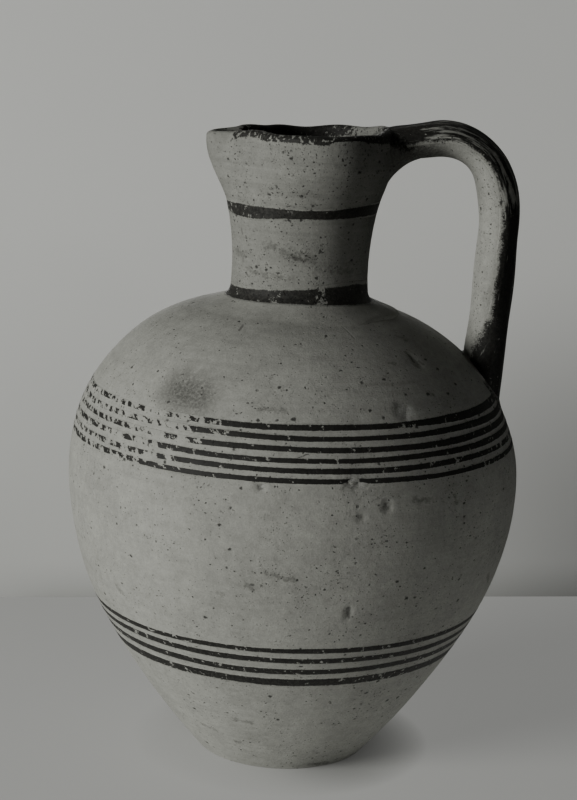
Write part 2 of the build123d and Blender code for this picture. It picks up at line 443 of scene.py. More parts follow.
bodyShape = {
    "columns": 404, "frontward": 0.44, "step": 1.4, "innerRows": 28, "innerFoot": 50.6, "ripple": 0.02,
    "wall": 6.0, "floor": 9.0, "openingRadius": 30.44, "footRound": 0.7,
    "footRings": (0.6, 12, 24, 33, 37.5), "floorRings": (26, 13, 0.6),
    "wideDent": 6.0, "wideFall": 1.2, "smallFall": 1.8,  # a wide dent falls off more softly than a small one
    # dents: angle, height, half width, half height, depth, how rough
    "dents": (
        (-31.5, 182.8, 15, 9, 1.30, 0.0),
        (31.5, 179.2, 4.6, 3.2, 0.55, 1.6),
        (15.2, 152.8, 4.8, 2.8, 0.70, 1.4),
        (15.2, 95.4, 1.8, 3.2, 0.75, 0.2),
        (47.0, 197.2, 2.8, 3.4, 0.95, 0.1),
        (-7.3, 150.1, 2.4, 2.0, 0.90, 0.1),
        (22.8, 142.6, 2.3, 2.3, 0.85, 0.1),
        (16.3, 138.5, 2.0, 1.9, 0.65, 0.3),
        (32, 143.6, 3.6, 2.0, 0.45, 1.0),
        (26, 2.0, 9.0, 2.4, 0.80, 0.7),
        (62, 96, 3.0, 5.0, 0.55, 0.5),
        (151, 120, 7.0, 6.0, 0.60, 0.3),
        (-132, 160, 5.0, 3.0, 0.50, 0.6),
        (118, 60, 4.0, 3.0, 0.50, 0.7),
    ),
}


# Columns stand closer together in front, where most of the marks are
def bodyColumns():
    even = ring(bodyShape["columns"])
    return even - bodyShape["frontward"] * np.sin(even)


def wallDent(angle, heading):
    radius, height = wallPlace(heading)
    depth = 0.0
    for dentAngle, dentHeight, halfWidth, halfHeight, deep, rough in bodyShape["dents"]:
        apart = (angle - math.radians(dentAngle) + math.pi) % turn - math.pi
        side = apart * radius / halfWidth
        rise = (height - dentHeight) / np.maximum(np.sin(heading), 0.35) / halfHeight
        uneven = 1 + rough * 0.45 * np.sin(5.1 * side + 1.7 * rise) * np.sin(4.3 * rise - 0.9 * side + 1.0)
        fall = bodyShape["wideFall"] if halfWidth > bodyShape["wideDent"] else bodyShape["smallFall"]
        depth = depth + deep * uneven * np.exp(-((side**2 + rise**2) ** fall))
    return depth


def bodyPoint(angle, heading, out=0.0):
    ripple = bodyShape["ripple"] * np.sin(heading * 95 + angle + 1.2 * np.sin(heading * 17))
    lift = out + ripple - wallDent(angle, heading)
    radius, height = wallPlace(heading, lift)
    return settle(aroundAxis(radius, angle, height))


def bodyRings():
    angle = bodyColumns()[None, :]

    def flatRings(radii, height):
        return [aroundAxis(np.full_like(angle, radius), angle, height) for radius in radii]

    footRadius = wallShape["footRadius"]
    lean = math.radians(wallShape["footLean"])
    back = bodyShape["footRound"]
    underside = flatRings((*bodyShape["footRings"], footRadius - back), 0.0)
    share = np.linspace(0.2, 0.8, 4)[:, None]
    edgeRadius = footRadius - back * (1 - share) ** 2 + back * math.cos(lean) * share**2
    edgeHeight = back * math.sin(lean) * share**2
    chip = wallDent(angle, np.full_like(angle, lean + 0.002))
    edge = aroundAxis(edgeRadius - chip * share, angle + 0 * share, edgeHeight)

    shoulderStart, shoulderCentre, shoulderBend = wallArcs[2]
    overhang = bodyShape["openingRadius"] - shoulderCentre[0]
    top = math.pi - math.asin(overhang / shoulderBend)
    stops = [lean + back / wallArcs[0][2], wallArcs[1][0], shoulderStart, top]
    headings = []
    for arc, (low, high) in enumerate(zip(stops[:-1], stops[1:])):
        count = int((high - low) * wallArcs[arc][2] / bodyShape["step"])
        headings.append(np.linspace(low, high, count, endpoint=False))
    headings = np.concatenate(headings + [[top]])[:, None]
    outer = bodyPoint(angle, headings)

    innerTop = math.pi - math.asin(overhang / (shoulderBend - bodyShape["wall"]))
    innerFoot = math.radians(bodyShape["innerFoot"])
    innerHeadings = np.linspace(innerTop, innerFoot, bodyShape["innerRows"])[:, None]
    radius, height = wallPlace(innerHeadings, -bodyShape["wall"])
    above = height[:, 0] > bodyShape["floor"]
    inner = settle(aroundAxis(radius[above], angle + 0 * innerHeadings[above], height[above]))
    floorRadius = float(np.interp(bodyShape["floor"], height[::-1, 0], radius[::-1, 0]))
    floor = flatRings((floorRadius, *bodyShape["floorRings"]), bodyShape["floor"])
    return np.concatenate(underside + [edge, outer, inner] + floor)


# Clay of the pot, with the marks that years have left on it; the dark tint also lays painted shade where the
# handle meets the neck. The neck's clay is a darker tone than the body's
clayTone = {
    "pale": (0.300, 0.302, 0.277, 1), "neck": (0.212, 0.214, 0.196, 1), "luting": (0.295, 0.297, 0.272, 1),
    "soilAndShade": (0.055, 0.0545, 0.049, 1), "bare": (0.42, 0.423, 0.40, 1), "slip": (0.012, 0.0118, 0.010, 1),
}


def onBody(angle, height):
    column = np.linspace(wallArcs[0][0] + 0.002, math.pi - 0.1, 900)
    places = bodyPoint(np.full_like(column, math.radians(angle)), column)
    return [float(np.interp(height, places[:, 2], places[:, part])) for part in range(3)]


def onNeck(angle, height):
    spot = neckPoint(np.array([math.radians(angle)]), np.array([float(height)]), 0.0)[0]
    return [float(part) for part in spot]


# Neck: a waisted tube, its lip pressed in on both sides of the spout so that two lobes stand out at the back
neckShape = {
    "columns": 288, "rows": 84, "lipRows": 13, "rise": 77.6, "waist": 31.0, "waistRise": 15.5, "wall": 5.0,
    "flareStart": 43.5, "flareBend": 128.0, "pressStart": 30.0, "lipRadius": 39.5, "lipRound": 2.0,
    "tenonBottom": 206.72, "waveStart": 272, "ripple": 0.02,
    # angles from the spout, in degrees
    "spout": 5.1, "spoutSpread": 16.0, "pressDepth": 6.6, "pressAngle": 46.0, "pressSpread": 22.0,
    "lobe": 4.6, "lobeAngle": 112.0, "lobeSpread": 30.0,
    "creaseDepth": 1.5, "creaseAngle": 22.0, "creaseSpread": 6.0,
    # rises and dips of the lip: size, angle from the front, spread
    "lipRises": ((2.3, 95, 42), (-1.3, 181, 16), (-2.0, 270, 24)),
}
rimHeight = shoulderTop + neckShape["rise"]


def mouthRadius(angle, height):
    fromSpout = np.abs(np.degrees((angle + math.pi / 2 + math.pi) % turn - math.pi))
    above = height - shoulderTop - neckShape["waistRise"]
    tube = neckShape["waist"] + above**2 / (2 * neckShape["flareBend"])
    spout = neckShape["spout"] * np.exp(-((fromSpout / neckShape["spoutSpread"]) ** 4))
    press = neckShape["pressDepth"] * hump(fromSpout, neckShape["pressAngle"], neckShape["pressSpread"])
    lobe = neckShape["lobe"] * hump(fromSpout, neckShape["lobeAngle"], neckShape["lobeSpread"])
    crease = neckShape["creaseDepth"] * hump(fromSpout, neckShape["creaseAngle"], neckShape["creaseSpread"])
    flared = ramp(height, shoulderTop + neckShape["flareStart"], rimHeight)
    pressed = ramp(height, shoulderTop + neckShape["pressStart"], rimHeight)
    return tube * (1 - flared) + (neckShape["lipRadius"] + spout - crease) * flared + (lobe - press) * pressed


def lipWave(angle):
    degrees = np.degrees((angle + turn) % turn)
    wave = 0.25 * np.sin(5 * angle - 0.8) + 0.2 * np.sin(9 * angle + 2.0)
    return withHumps(wave, degrees, neckShape["lipRises"])


def neckPoint(angle, height, out):
    ripple = neckShape["ripple"] * np.sin(height * 1.05 + angle + 1.4 * np.sin(height * 0.21))
    lift = lipWave(angle) * ramp(height, neckShape["waveStart"], rimHeight)
    return settle(aroundAxis(mouthRadius(angle, height) + out + ripple, angle, height + lift))


def neckRings():
    angle = ring(neckShape["columns"])[None, :]
    half = neckShape["wall"] / 2
    lipFoot = rimHeight - neckShape["lipRound"]
    rows = np.linspace(neckShape["tenonBottom"], lipFoot, neckShape["rows"])
    bow = np.linspace(0, math.pi, neckShape["lipRows"])[1:-1]
    heights = np.concatenate((rows, lipFoot + neckShape["lipRound"] * np.sin(bow), rows[::-1]))[:, None]
    outs = np.concatenate((0 * rows, half * (np.cos(bow) - 1), 0 * rows - neckShape["wall"]))[:, None]
    return neckPoint(angle + 0 * heights, heights, outs + 0 * angle)


def markedClay(name, tone, pitting, wheel, marks):
    material, tree, shader = newMaterial(name)
    clay = useGroup(tree, clayGrain, tone=tone, pitting=pitting, wheel=wheel)
    surface = clay["color"]
    for start, end, reach, soft, ragged, strength, tint in marks:
        mask = useGroup(tree, handMark, start=start, end=end, reach=reach, soft=soft, ragged=ragged)["mask"]
        surface = blendColor(tree, sums(tree, "MULTIPLY", mask, strength), surface, clayTone[tint])
    tree.links.new(surface, shader.inputs["Base Color"])
    tree.links.new(clay["roughness"], shader.inputs["Roughness"])
    bumped(tree, shader, clay["height"], surfaceLooks["clayBump"])
    return material


# Marks: angle and height at both ends, reach, softness, raggedness, strength, tint
markStep = 12  # degrees, so that a long mark follows the curve


def layMarks(onto, rows):
    marks = []
    for angle, height, endAngle, endHeight, *looks in rows:
        steps = 1 + int(abs(endAngle - angle) / markStep)
        stops = []
        for step in range(steps + 1):
            stopAngle = angle + (endAngle - angle) * step / steps
            stopHeight = height + (endHeight - height) * step / steps
            stops.append(onto(stopAngle, stopHeight))
        marks += [(start, end, *looks) for start, end in zip(stops[:-1], stops[1:])]
    return marks


bodyMarks = layMarks(onBody, (
    (-34.5, 183.2, -28.5, 182, 16.5, 15.0, 2.5, 0.78, "soilAndShade"),
    (29.6, 180.6, 32.6, 178.8, 3.2, 2.2, 4.4, 0.52, "soilAndShade"),
    (31.0, 179.4, 33.4, 177.6, 2.6, 1.2, 5.0, 0.85, "bare"),
    (33.6, 180.6, 34.6, 179.8, 0.9, 0.5, 2.0, 0.70, "bare"),
    (12.8, 152.4, 17.6, 153.2, 3.2, 2.2, 4.0, 0.62, "soilAndShade"),
    (14.4, 153.6, 16.6, 152.4, 2.1, 1.1, 4.4, 0.75, "bare"),
    (15.0, 97.4, 15.4, 93.6, 1.6, 1.2, 1.0, 0.74, "soilAndShade"),
    (45.4, 199.2, 46.5, 195.4, 1.1, 0.8, 0.8, 0.75, "soilAndShade"),
    (47.3, 198.4, 48.5, 195.8, 0.6, 0.4, 0.3, 0.60, "bare"),
    (48.8, 195.4, 49.4, 194.4, 0.9, 0.7, 0.8, 0.60, "soilAndShade"),
    (-7.4, 150.0, -7.2, 150.2, 2.0, 1.0, 1.2, 0.62, "soilAndShade"),
    (-6.9, 150.4, -6.8, 150.6, 0.9, 0.6, 0.4, 0.70, "bare"),
    (22.7, 142.5, 22.9, 142.7, 1.9, 1.0, 1.2, 0.58, "soilAndShade"),
    (23.0, 142.9, 23.1, 143.1, 0.8, 0.5, 0.4, 0.70, "bare"),
    (16.2, 138.4, 16.4, 138.6, 1.6, 1.0, 1.4, 0.50, "soilAndShade"),
    (13.4, 141.0, 13.8, 139.6, 1.2, 1.0, 1.8, 0.48, "soilAndShade"),
    (24.4, 209.2, 26.2, 205.2, 0.55, 0.35, 0.2, 0.85, "bare"),
    (7.0, 87.8, 8.5, 68.4, 0.34, 0.26, 0.1, 0.42, "bare"),
    (20, 2.6, 32, 1.6, 2.2, 1.5, 2.4, 0.45, "soilAndShade"),
    (30, 144.5, 34, 143, 1.7, 1.3, 2.6, 0.52, "soilAndShade"),
    (42.3, 143.6, 42.9, 139.6, 1.3, 1.0, 1.6, 0.52, "soilAndShade"),
    (64.5, 97.6, 67, 95, 1.9, 1.4, 2.6, 0.55, "soilAndShade"),
    (-5.2, 113.6, 1.0, 111.1, 1.6, 1.4, 3.2, 0.52, "soilAndShade"),
    (-10.0, 107.4, -8.5, 105.7, 1.6, 1.3, 3.0, 0.48, "soilAndShade"),
    (-16.8, 101.8, -16.2, 101.4, 1.6, 1.3, 2.6, 0.45, "soilAndShade"),
    (-9.5, 180.2, -2.5, 180.4, 1.3, 1.1, 2.8, 0.52, "soilAndShade"),
    (-27.2, 208.2, -26.6, 206.4, 0.8, 0.6, 0.6, 0.75, "soilAndShade"),
    (50.5, 204.2, 53, 203.0, 2.2, 1.8, 3.2, 0.52, "soilAndShade"),
    (33.5, 196.5, 36.5, 196.0, 1.0, 0.8, 2.2, 0.52, "soilAndShade"),
    (43.4, 184.4, 44.6, 183.6, 1.7, 1.3, 2.4, 0.55, "soilAndShade"),
    (20, 189.6, 42, 188.8, 1.7, 1.5, 1.6, 0.26, "soilAndShade"),
    (-38, 23.4, -31, 21.6, 1.7, 1.5, 3.4, 0.42, "soilAndShade"),
    (-18.8, 32.4, -11.2, 31.2, 1.4, 1.2, 3.2, 0.45, "soilAndShade"),
    (27.2, 210.5, 27.9, 210.2, 0.9, 0.5, 0.6, 0.85, "soilAndShade"),
    (23.6, 209.0, 25.5, 205.0, 0.5, 0.35, 0.3, 0.60, "soilAndShade"),
    (16.3, 46.2, 16.7, 45.2, 0.8, 0.5, 0.6, 0.80, "soilAndShade"),
    (29.0, 42.6, 29.4, 41.8, 0.7, 0.5, 0.6, 0.75, "soilAndShade"),
    (0.1, 26.2, 0.4, 26.0, 0.6, 0.4, 0.4, 0.75, "soilAndShade"),
    (2.9, 29.1, 3.2, 28.9, 0.6, 0.4, 0.4, 0.75, "soilAndShade"),
    (8.0, 10.2, 8.6, 10.0, 0.9, 0.6, 0.8, 0.70, "soilAndShade"),
    (-22.6, 17.2, -19.8, 16.2, 1.3, 1.0, 2.0, 0.62, "soilAndShade"),
    (-50.0, 91.6, -48.4, 90.2, 1.8, 1.4, 2.4, 0.45, "soilAndShade"),
    (-1.8, 160.2, 3.7, 164.3, 0.42, 0.25, 0.15, 0.95, "slip"),
))
neckMarks = layMarks(onNeck, (
    (-14, 238, 9, 236, 3.6, 3.2, 5.0, 0.50, "soilAndShade"),
    (-9, 236.6, 2.8, 235.2, 1.6, 1.3, 3.4, 0.62, "soilAndShade"),
    (-28.8, 240.8, -22.5, 240.4, 2.8, 2.4, 4.2, 0.55, "soilAndShade"),
    (-66, 235.6, -54.5, 234.2, 2.8, 2.4, 4.0, 0.45, "soilAndShade"),
    (-56.4, 246.6, -55.6, 244.4, 0.7, 0.5, 0.6, 0.60, "soilAndShade"),
    (21.8, 250, 45, 241, 0.28, 0.22, 0.1, 0.32, "bare"),
    (12, 232, 46, 230, 2.6, 2.4, 4.5, 0.36, "soilAndShade"),
    (-50, 228.5, -8, 227, 2.0, 1.9, 4.0, 0.38, "soilAndShade"),
    # Painted shade: a broad soft dark patch down the right of the neck toward the handle, on the side away
    # from the light
    (66, 284, 78, 230, 17.0, 15.0, 2.0, 0.50, "soilAndShade"),
))

# Painted shade under the crown and on the throat, where the lobe of the lip shades the handle root; and paint
# run over the joins at lip and root
paintedCrownShade = ((34, -5, 283), (48, -6, 286), 24.0, 17.0, 3.0, 0.78, "soilAndShade")
lipPaint = ((37, -15, 292), (45, -14, 288), 5.5, 1.2, 2.5, 0.96, "slip")
rootPaint = ((95, -9, 172), (95, 9, 172), 15.0, 1.5, 2.5, 0.96, "slip")
# name, tone, pitting, wheel lines, marks
bodyClay = markedClay("bodyClay", clayTone["pale"], 1.0, 1.0, bodyMarks)
neckClay = markedClay("neckClay", clayTone["neck"], 2.7, 2.4, neckMarks + [lipPaint])
handleClay = markedClay("handleClay", clayTone["pale"], 0.8, 0.2, [paintedCrownShade, lipPaint])
throatClay = markedClay("throatClay", clayTone["neck"], 1.4, 0.3, [paintedCrownShade, lipPaint])
lutingClay = markedClay("lutingClay", clayTone["luting"], 1.0, 0.4, [rootPaint])

bodyWall = skin("bodyWall", bodyRings())
finishPiece(bodyWall, "body", bodyClay)
neckTube = skin("neckTube", neckRings(), wrap=True)
finishPiece(neckTube, "neck", neckClay)
print("body and neck thrown")


# Handle: an oval strap from the lip over the crown and down to the shoulder, its foot cut to the wall
handleShape = {
    "around": 64, "upperRows": 92, "legRows": 60, "first": -1.2, "start": (36.1, 285.1), "heading": 9.2,
    "lipRun": 22.0, "crownBend": 25.0, "crownTurn": 75.0, "gripBend": 55.0, "gripTurn": 27.2,
    "width": 27.0, "crownThick": 15.6, "gripThick": 18.3, "lipThin": 0.90, "lipThinEnds": (-2, 7),
    "legReach": 65.0, "swells": (0.2, 0.5), "legLongest": 110.0, "halvings": 40,
    "bury": 1.6, "lump": 0.22, "groove": 0.28,
}


def handlePath(distance):
    heading = math.radians(handleShape["heading"])
    place = np.array(handleShape["start"], float)
    bends = [(0.0, 0.0, handleShape["lipRun"])]
    for name in ("crown", "grip"):
        swing = math.radians(handleShape[name + "Turn"])
        bends.append((handleShape[name + "Bend"], swing, handleShape[name + "Bend"] * swing))
    passed = 0.0
    along = np.stack((np.cos(heading) + 0 * distance, np.sin(heading) + 0 * distance), axis=-1)
    places = place + along * distance[..., None]
    headings = heading + 0 * distance
    for bend, swing, length in bends:
        here = distance >= passed
        local = distance - passed
        if bend:
            centre = place + bend * np.array((math.sin(heading), -math.cos(heading)))
            now = heading - local / bend
            curved = centre + bend * np.stack((-np.sin(now), np.cos(now)), axis=-1)
            places = np.where(here[..., None], curved, places)
            headings = np.where(here, now, headings)
            end = heading - swing
            place = centre + bend * np.array((-math.sin(end), math.cos(end)))
            heading = end
        else:
            place = place + length * np.array((math.cos(heading), math.sin(heading)))
        passed += length
    straight = place + (distance - passed)[..., None] * np.array((math.cos(heading), math.sin(heading)))
    past = distance >= passed
    return np.where(past[..., None], straight, places), np.where(past, heading, headings), passed


upperLength = handlePath(np.zeros(1))[2]


def handleOval(distance, around, grow):
    length = upperLength + handleShape["legReach"]
    swell = ramp(distance / length, *handleShape["swells"])
    thick = handleShape["crownThick"] + (handleShape["gripThick"] - handleShape["crownThick"]) * swell
    thin = handleShape["lipThin"] + (1 - handleShape["lipThin"]) * ramp(distance, *handleShape["lipThinEnds"])
    lump = np.sin(0.17 * distance + 2 * around) + np.sin(0.11 * distance - 3 * around + 1.0)
    lump = handleShape["lump"] * lump
    back = np.clip(np.sin(around), 0, 1)
    groove = handleShape["groove"] * back * np.sin(9.0 * around + 0.6 * np.sin(0.09 * distance) + 0.5)
    side = (handleShape["width"] / 2 + grow + lump + groove) * np.cos(around)
    rise = (thick / 2 * thin + grow + lump + groove) * np.sin(around)
    return side, rise


def handlePoint(distance, around, grow=0.0):
    place, heading = handlePath(distance)[:2]
    side, rise = handleOval(distance, around, grow)
    x = place[..., 0] - np.sin(heading) * rise
    z = place[..., 1] + np.cos(heading) * rise
    return np.stack((x, side, z), axis=-1)


# How far each line of the leg runs before it is this deep in the shoulder
def legLength(around, grow, depth):
    centre, bend = wallArcs[2][1], wallArcs[2][2] - depth
    low = np.full_like(around, upperLength)
    high = np.full_like(around, upperLength + handleShape["legLongest"])
    for _ in range(handleShape["halvings"]):
        middle = (low + high) / 2
        point = handlePoint(middle, around, grow)
        away = np.hypot(np.hypot(point[..., 0], point[..., 1]) - centre[0], point[..., 2] - centre[1])
        inside = away < bend
        high = np.where(inside, middle, high)
        low = np.where(inside, low, middle)
    return low


def handleDistances(around, grow, depth, first):
    upper = np.linspace(first, upperLength, handleShape["upperRows"], endpoint=False)[:, None] + 0 * around
    share = np.linspace(0, 1, handleShape["legRows"])[:, None]
    leg = upperLength + (legLength(around, grow, depth) - upperLength) * share
    return np.concatenate((upper, leg))


around = ring(handleShape["around"])[None, :]
strapRuns = handleDistances(around, 0.0, handleShape["bury"], handleShape["first"])
handleStrap = skin("handleStrap", settle(handlePoint(strapRuns, around)))
finishPiece(handleStrap, "handle", handleClay)

# Luting clay at the three joins
lutingShape = {
    "columns": 288, "collarRadius": 46.5, "collarThick": 0.35, "toe": 33.4, "fillet": 6.0,
    "coveRise": 4.5, "coveProud": 0.01, "coveRows": 18, "coveEase": 1.8, "collarRows": 34, "collarEase": 1.4,
    "underRows": 8, "underRadius": 32.5, "underDepth": 0.8, "underInset": 0.3,
    "ridge": 1.5, "ridgeAngle": 80, "ridgeSpread": 38,
    # the heap against the neck: its height, then rises and dips with their angle and spread
    "heap": 2.0, "heapRises": ((1.7, 5, 60), (-0.5, 95, 40), (0.4, -90, 40)),
    "throatAround": 64, "throatRows": 40, "throatReach": 18.0, "throatDepth": 15.2, "throatSunk": 1.3,
    "throatFlare": 8.0, "throatBend": 38.0,
    "rootAround": 72, "rootRows": 12, "rootSpread": 2.2, "rootHeight": 2.8, "rootTuck": 0.7,
    "rootUnder": ((1.6, 0.9), (-1.2, 1.2)),
}


# The clay is heaped against the neck, highest in front, and a cove runs from the heap up the neck
def collarLift(angle):
    return withHumps(lutingShape["heap"], np.degrees(angle), lutingShape["heapRises"])


def collarEdge(angle):
    wander = 1.1 * np.sin(2 * angle + 2.2) + 0.7 * np.sin(5 * angle) + 0.4 * np.sin(11 * angle + 1.0)
    return lutingShape["collarRadius"] + wander


def shoulderLevel(radius, out):
    arcCentre, bend = wallArcs[2][1], wallArcs[2][2]
    return arcCentre[1] + np.sqrt((bend + out) ** 2 - (radius - arcCentre[0]) ** 2)


def coveTop(angle):
    toeLevel = shoulderLevel(lutingShape["toe"], lutingShape["collarThick"])
    return toeLevel + collarLift(angle) + lutingShape["coveRise"]


def coveStart(angle):
    return mouthRadius(angle, coveTop(angle)) + lutingShape["coveProud"]


def coveHeight(radius, angle):
    fillet, toe = lutingShape["fillet"], lutingShape["toe"]
    centre = coveStart(angle) + fillet
    drop = np.sqrt(np.maximum(fillet**2 - (radius - centre) ** 2, 0) / (fillet**2 - (toe - centre) ** 2))
    return coveTop(angle) - lutingShape["coveRise"] * drop


def collarHeight(radius, angle):
    thick, ridge, toe = lutingShape["collarThick"], lutingShape["ridge"], lutingShape["toe"]
    share = np.clip((radius - toe) / (collarEdge(angle) - toe), 0, 1)
    proud = hump(np.degrees(angle), lutingShape["ridgeAngle"], lutingShape["ridgeSpread"])
    feather = thick * (1 - ramp(share, 0, 1))
    raised = (thick + (ridge - thick) * ramp(share, 0.2, 0.9)) * (1 - share**14)
    out = feather * (1 - proud) + raised * proud - 0.02 * share
    heap = collarLift(angle) * (1 - share) ** 1.5
    return np.where(radius < toe, coveHeight(radius, angle), shoulderLevel(radius, out) + heap)


# Down the cove, over the heap to the edge of the collar, and back beneath it
def collarRings():
    angle = ring(lutingShape["columns"])[None, :]
    edge, toe, within = collarEdge(angle), lutingShape["toe"], lutingShape["underRadius"]
    deep, inset = lutingShape["underDepth"], lutingShape["underInset"]
    cove = np.linspace(0, 1, lutingShape["coveRows"]) ** lutingShape["coveEase"]
    places = [coveStart(angle) + (toe - coveStart(angle)) * share for share in cove]
    heap = 1 - np.linspace(1, 0, lutingShape["collarRows"])[1:] ** lutingShape["collarEase"]
    places += [toe + (edge - toe) * share for share in heap]
    rings = [aroundAxis(place, angle, collarHeight(place, angle)) for place in places]
    for share in np.linspace(1, 0, lutingShape["underRows"]):
        place = within + (edge - inset - within) * share
        rings.append(aroundAxis(place, angle, shoulderLevel(place, -deep)))
    rings.append(aroundAxis(coveStart(angle) - deep, angle, rings[0][..., 2] - deep / 2))
    return settle(np.concatenate(rings))


neckCollar = skin("neckCollar", collarRings(), wrap=True)
finishPiece(neckCollar, "neck_luting", lutingClay)


# Sections bent like the neck wall, outward from inside it, flared so that the cove runs out of the wall
def throatRings():
    bow = ring(lutingShape["throatAround"])[None, :]
    startX, startZ = handleShape["start"]
    rise = math.tan(math.radians(handleShape["heading"]))
    reach, sunk, bent = lutingShape["throatReach"], lutingShape["throatSunk"], lutingShape["throatBend"]
    outward = np.linspace(-sunk, reach, lutingShape["throatRows"])[:, None]
    share = (outward + sunk) / (reach + sunk)
    free = np.maximum(outward, 0) / reach
    depth = lutingShape["throatDepth"] * (1 - free**0.7) ** 1.9 + 2 * np.maximum(-outward, 0)
    under = np.clip(-np.sin(bow), 0, 1)
    grow = 0.05 - 0.9 * (1 - under) - 0.3 * ramp(share, 0.8, 1.0)
    side, up = handleOval(np.maximum(outward, 0) + 0 * bow, bow + 0 * outward, grow)
    side = side + lutingShape["throatFlare"] * (1 - free**0.6) ** 2 * np.cos(bow)
    back = bent - np.sqrt(bent**2 - side**2)
    height = startZ + outward * rise + up - depth * under
    return settle(np.stack((startX + outward - back * (1 - share), side, height), axis=-1))


throatFillet = skin("throatFillet", throatRings())
finishPiece(throatFillet, "throat_luting", throatClay)


def rootRings():
    bow = ring(lutingShape["rootAround"])[None, :]
    tuck = lutingShape["rootTuck"]
    rings = []
    for share in np.linspace(0, 1, lutingShape["rootRows"]):
        grow = -tuck + (lutingShape["rootSpread"] + tuck) * share**1.7
        lift = lutingShape["rootHeight"] * (1 - share) ** 1.6 - 0.12 * share
        rings.append(handlePoint(legLength(bow, grow, -lift), bow, grow))
    for grow, depth in lutingShape["rootUnder"]:
        rings.append(handlePoint(legLength(bow, grow, depth), bow, grow))
    return settle(np.concatenate(rings))


rootPad = skin("rootPad", rootRings(), wrap=True)
finishPiece(rootPad, "root_luting", lutingClay)
print("handle and luting set")

# Slip coats: thin rings and strips that follow the wall beneath
slipTone = {"dark": (0.010, 0.0098, 0.0085, 1), "thin": (0.040, 0.039, 0.034, 1), "smoother": -0.2}
coat = {"rows": 11, "edge": -0.012, "rise": 0.075, "under": -0.35, "margin": 1.42, "relief": 0.25}


def readMarks(tree, *labels):
    readings = {}
    for label in labels:
        node = tree.nodes.new("ShaderNodeAttribute")
        node.attribute_name = label
        readings[label] = node.outputs["Fac"]
    return readings


# Slip over clay: dark where the mask is, paler where it lies thin
def layPaint(tree, shader, clay, slip, mask, thinness):
    thin = sums(tree, "MULTIPLY", slip["thin"], thinness)
    dark = blendColor(tree, thin, slipTone["dark"], slipTone["thin"])
    tree.links.new(blendColor(tree, mask, clay["color"], dark), shader.inputs["Base Color"])
    roughness = sums(tree, "MULTIPLY_ADD", mask, slipTone["smoother"], clay["roughness"])
    tree.links.new(roughness, shader.inputs["Roughness"])


def slipMaterial(name, tone, edge, flake, skew, thinness, pitting):
    material, tree, shader = newMaterial(name)
    clay = useGroup(tree, clayGrain, tone=clayTone[tone], pitting=pitting, wheel=1.0)
    marks = readMarks(tree, "across", "wear")
    slip = useGroup(tree, slipStroke, edge=edge, flake=flake, skew=skew, **marks)
    layPaint(tree, shader, clay, slip, slip["mask"], thinness)
    height = sums(tree, "MULTIPLY_ADD", slip["mask"], coat["relief"], clay["height"])
    bumped(tree, shader, height, surfaceLooks["clayBump"])
    return material


# The section of a coat: over the wall from edge to edge, then back beneath it
def coatSection(rows=coat["rows"]):
    over = np.linspace(-1, 1, rows)
    across = np.concatenate((over, over[::-1][1:-1]))
    out = np.concatenate((coat["edge"] + coat["rise"] * (1 - over**2), np.full(rows - 2, coat["under"])))
    return across[:, None], out[:, None]


def layCoat(name, node, material, rings, across, wear):
    piece = skin(name, rings, wrap=True, marks={"across": across, "wear": wear})
    finishPiece(piece, node, material)


# Height of the wall along each column, for finding the level of a band
columnAngles = bodyColumns()
wallHeadings = np.linspace(wallArcs[0][0] + 0.004, math.pi - 0.12, 700)
wallHeights = bodyPoint(columnAngles[:, None], wallHeadings[None, :])[..., 2]


def wallBand(name, node, material, middle, width, wear):
    across, out = coatSection()
    target = middle + across * coat["margin"] * width / 2
    headings = [np.interp(levels, heights, wallHeadings) for levels, heights in zip(target.T, wallHeights)]
    headings = np.stack(headings, axis=-1)
    rings = bodyPoint(columnAngles[None, :] + 0 * headings, headings, out + 0 * headings)
    layCoat(name, node, material, rings, across, wear)


shoulderPaint = {
    "count": 6, "top": 174.0, "pitch": 4.16, "width": 2.08, "sway": 0.16, "uneven": 0.12,
    # the brush was fuller toward the handle, most of all in the first band
    "fuller": (1.05, 0.45, 0.5, 0.45, 0.1, 0.0), "fullerFrom": (22, 60), "fullerTo": (120, 170),
    # where the worn left side begins in the first and the last band, in degrees
    "wornFirst": -11.0, "wornLast": -27.0,
    "allWear": 0.18, "leftWear": 0.385, "baldWear": 0.26, "patchyWear": 0.06,
    "faintWear": 0.18, "faintBand": 4,  # the last two bands are faint at the right
    # chips of a band: wear, angle, spread
    "chips": {0: ((0.35, 31.5, 2.6),), 5: ((0.45, 15, 3),)},
}
bellyPaint = {
    "top": 75.7, "pitch": 4.95, "growth": 0.3, "widths": (2.35, 2.55, 2.85, 3.8), "sway": 0.2, "uneven": 0.12,
    "allWear": 0.18, "patchyWear": 0.14,
}
plain = (0.0, 0.0, 0.0)
# name, clay, rough edge, flakes per mm, slant of the flakes, thinness, pitting
shoulderSlip = slipMaterial("shoulderSlip", "pale", 0.15, 0.30, (0.45, -0.54, 0.0), 0.30, 1.0)
bellySlip = slipMaterial("bellySlip", "pale", 0.14, 0.34, plain, 0.75, 1.0)


def sway(angle, seed, size):
    waves = np.sin(2 * angle + seed) + 0.7 * np.sin(5 * angle + 2.3 * seed) + 0.4 * np.sin(11 * angle - seed)
    return size * waves


def broader(angle, band):
    degrees = np.degrees(angle)
    fading = 1 - ramp(degrees, *shoulderPaint["fullerTo"])
    return shoulderPaint["fuller"][band] * ramp(degrees, *shoulderPaint["fullerFrom"]) * fading


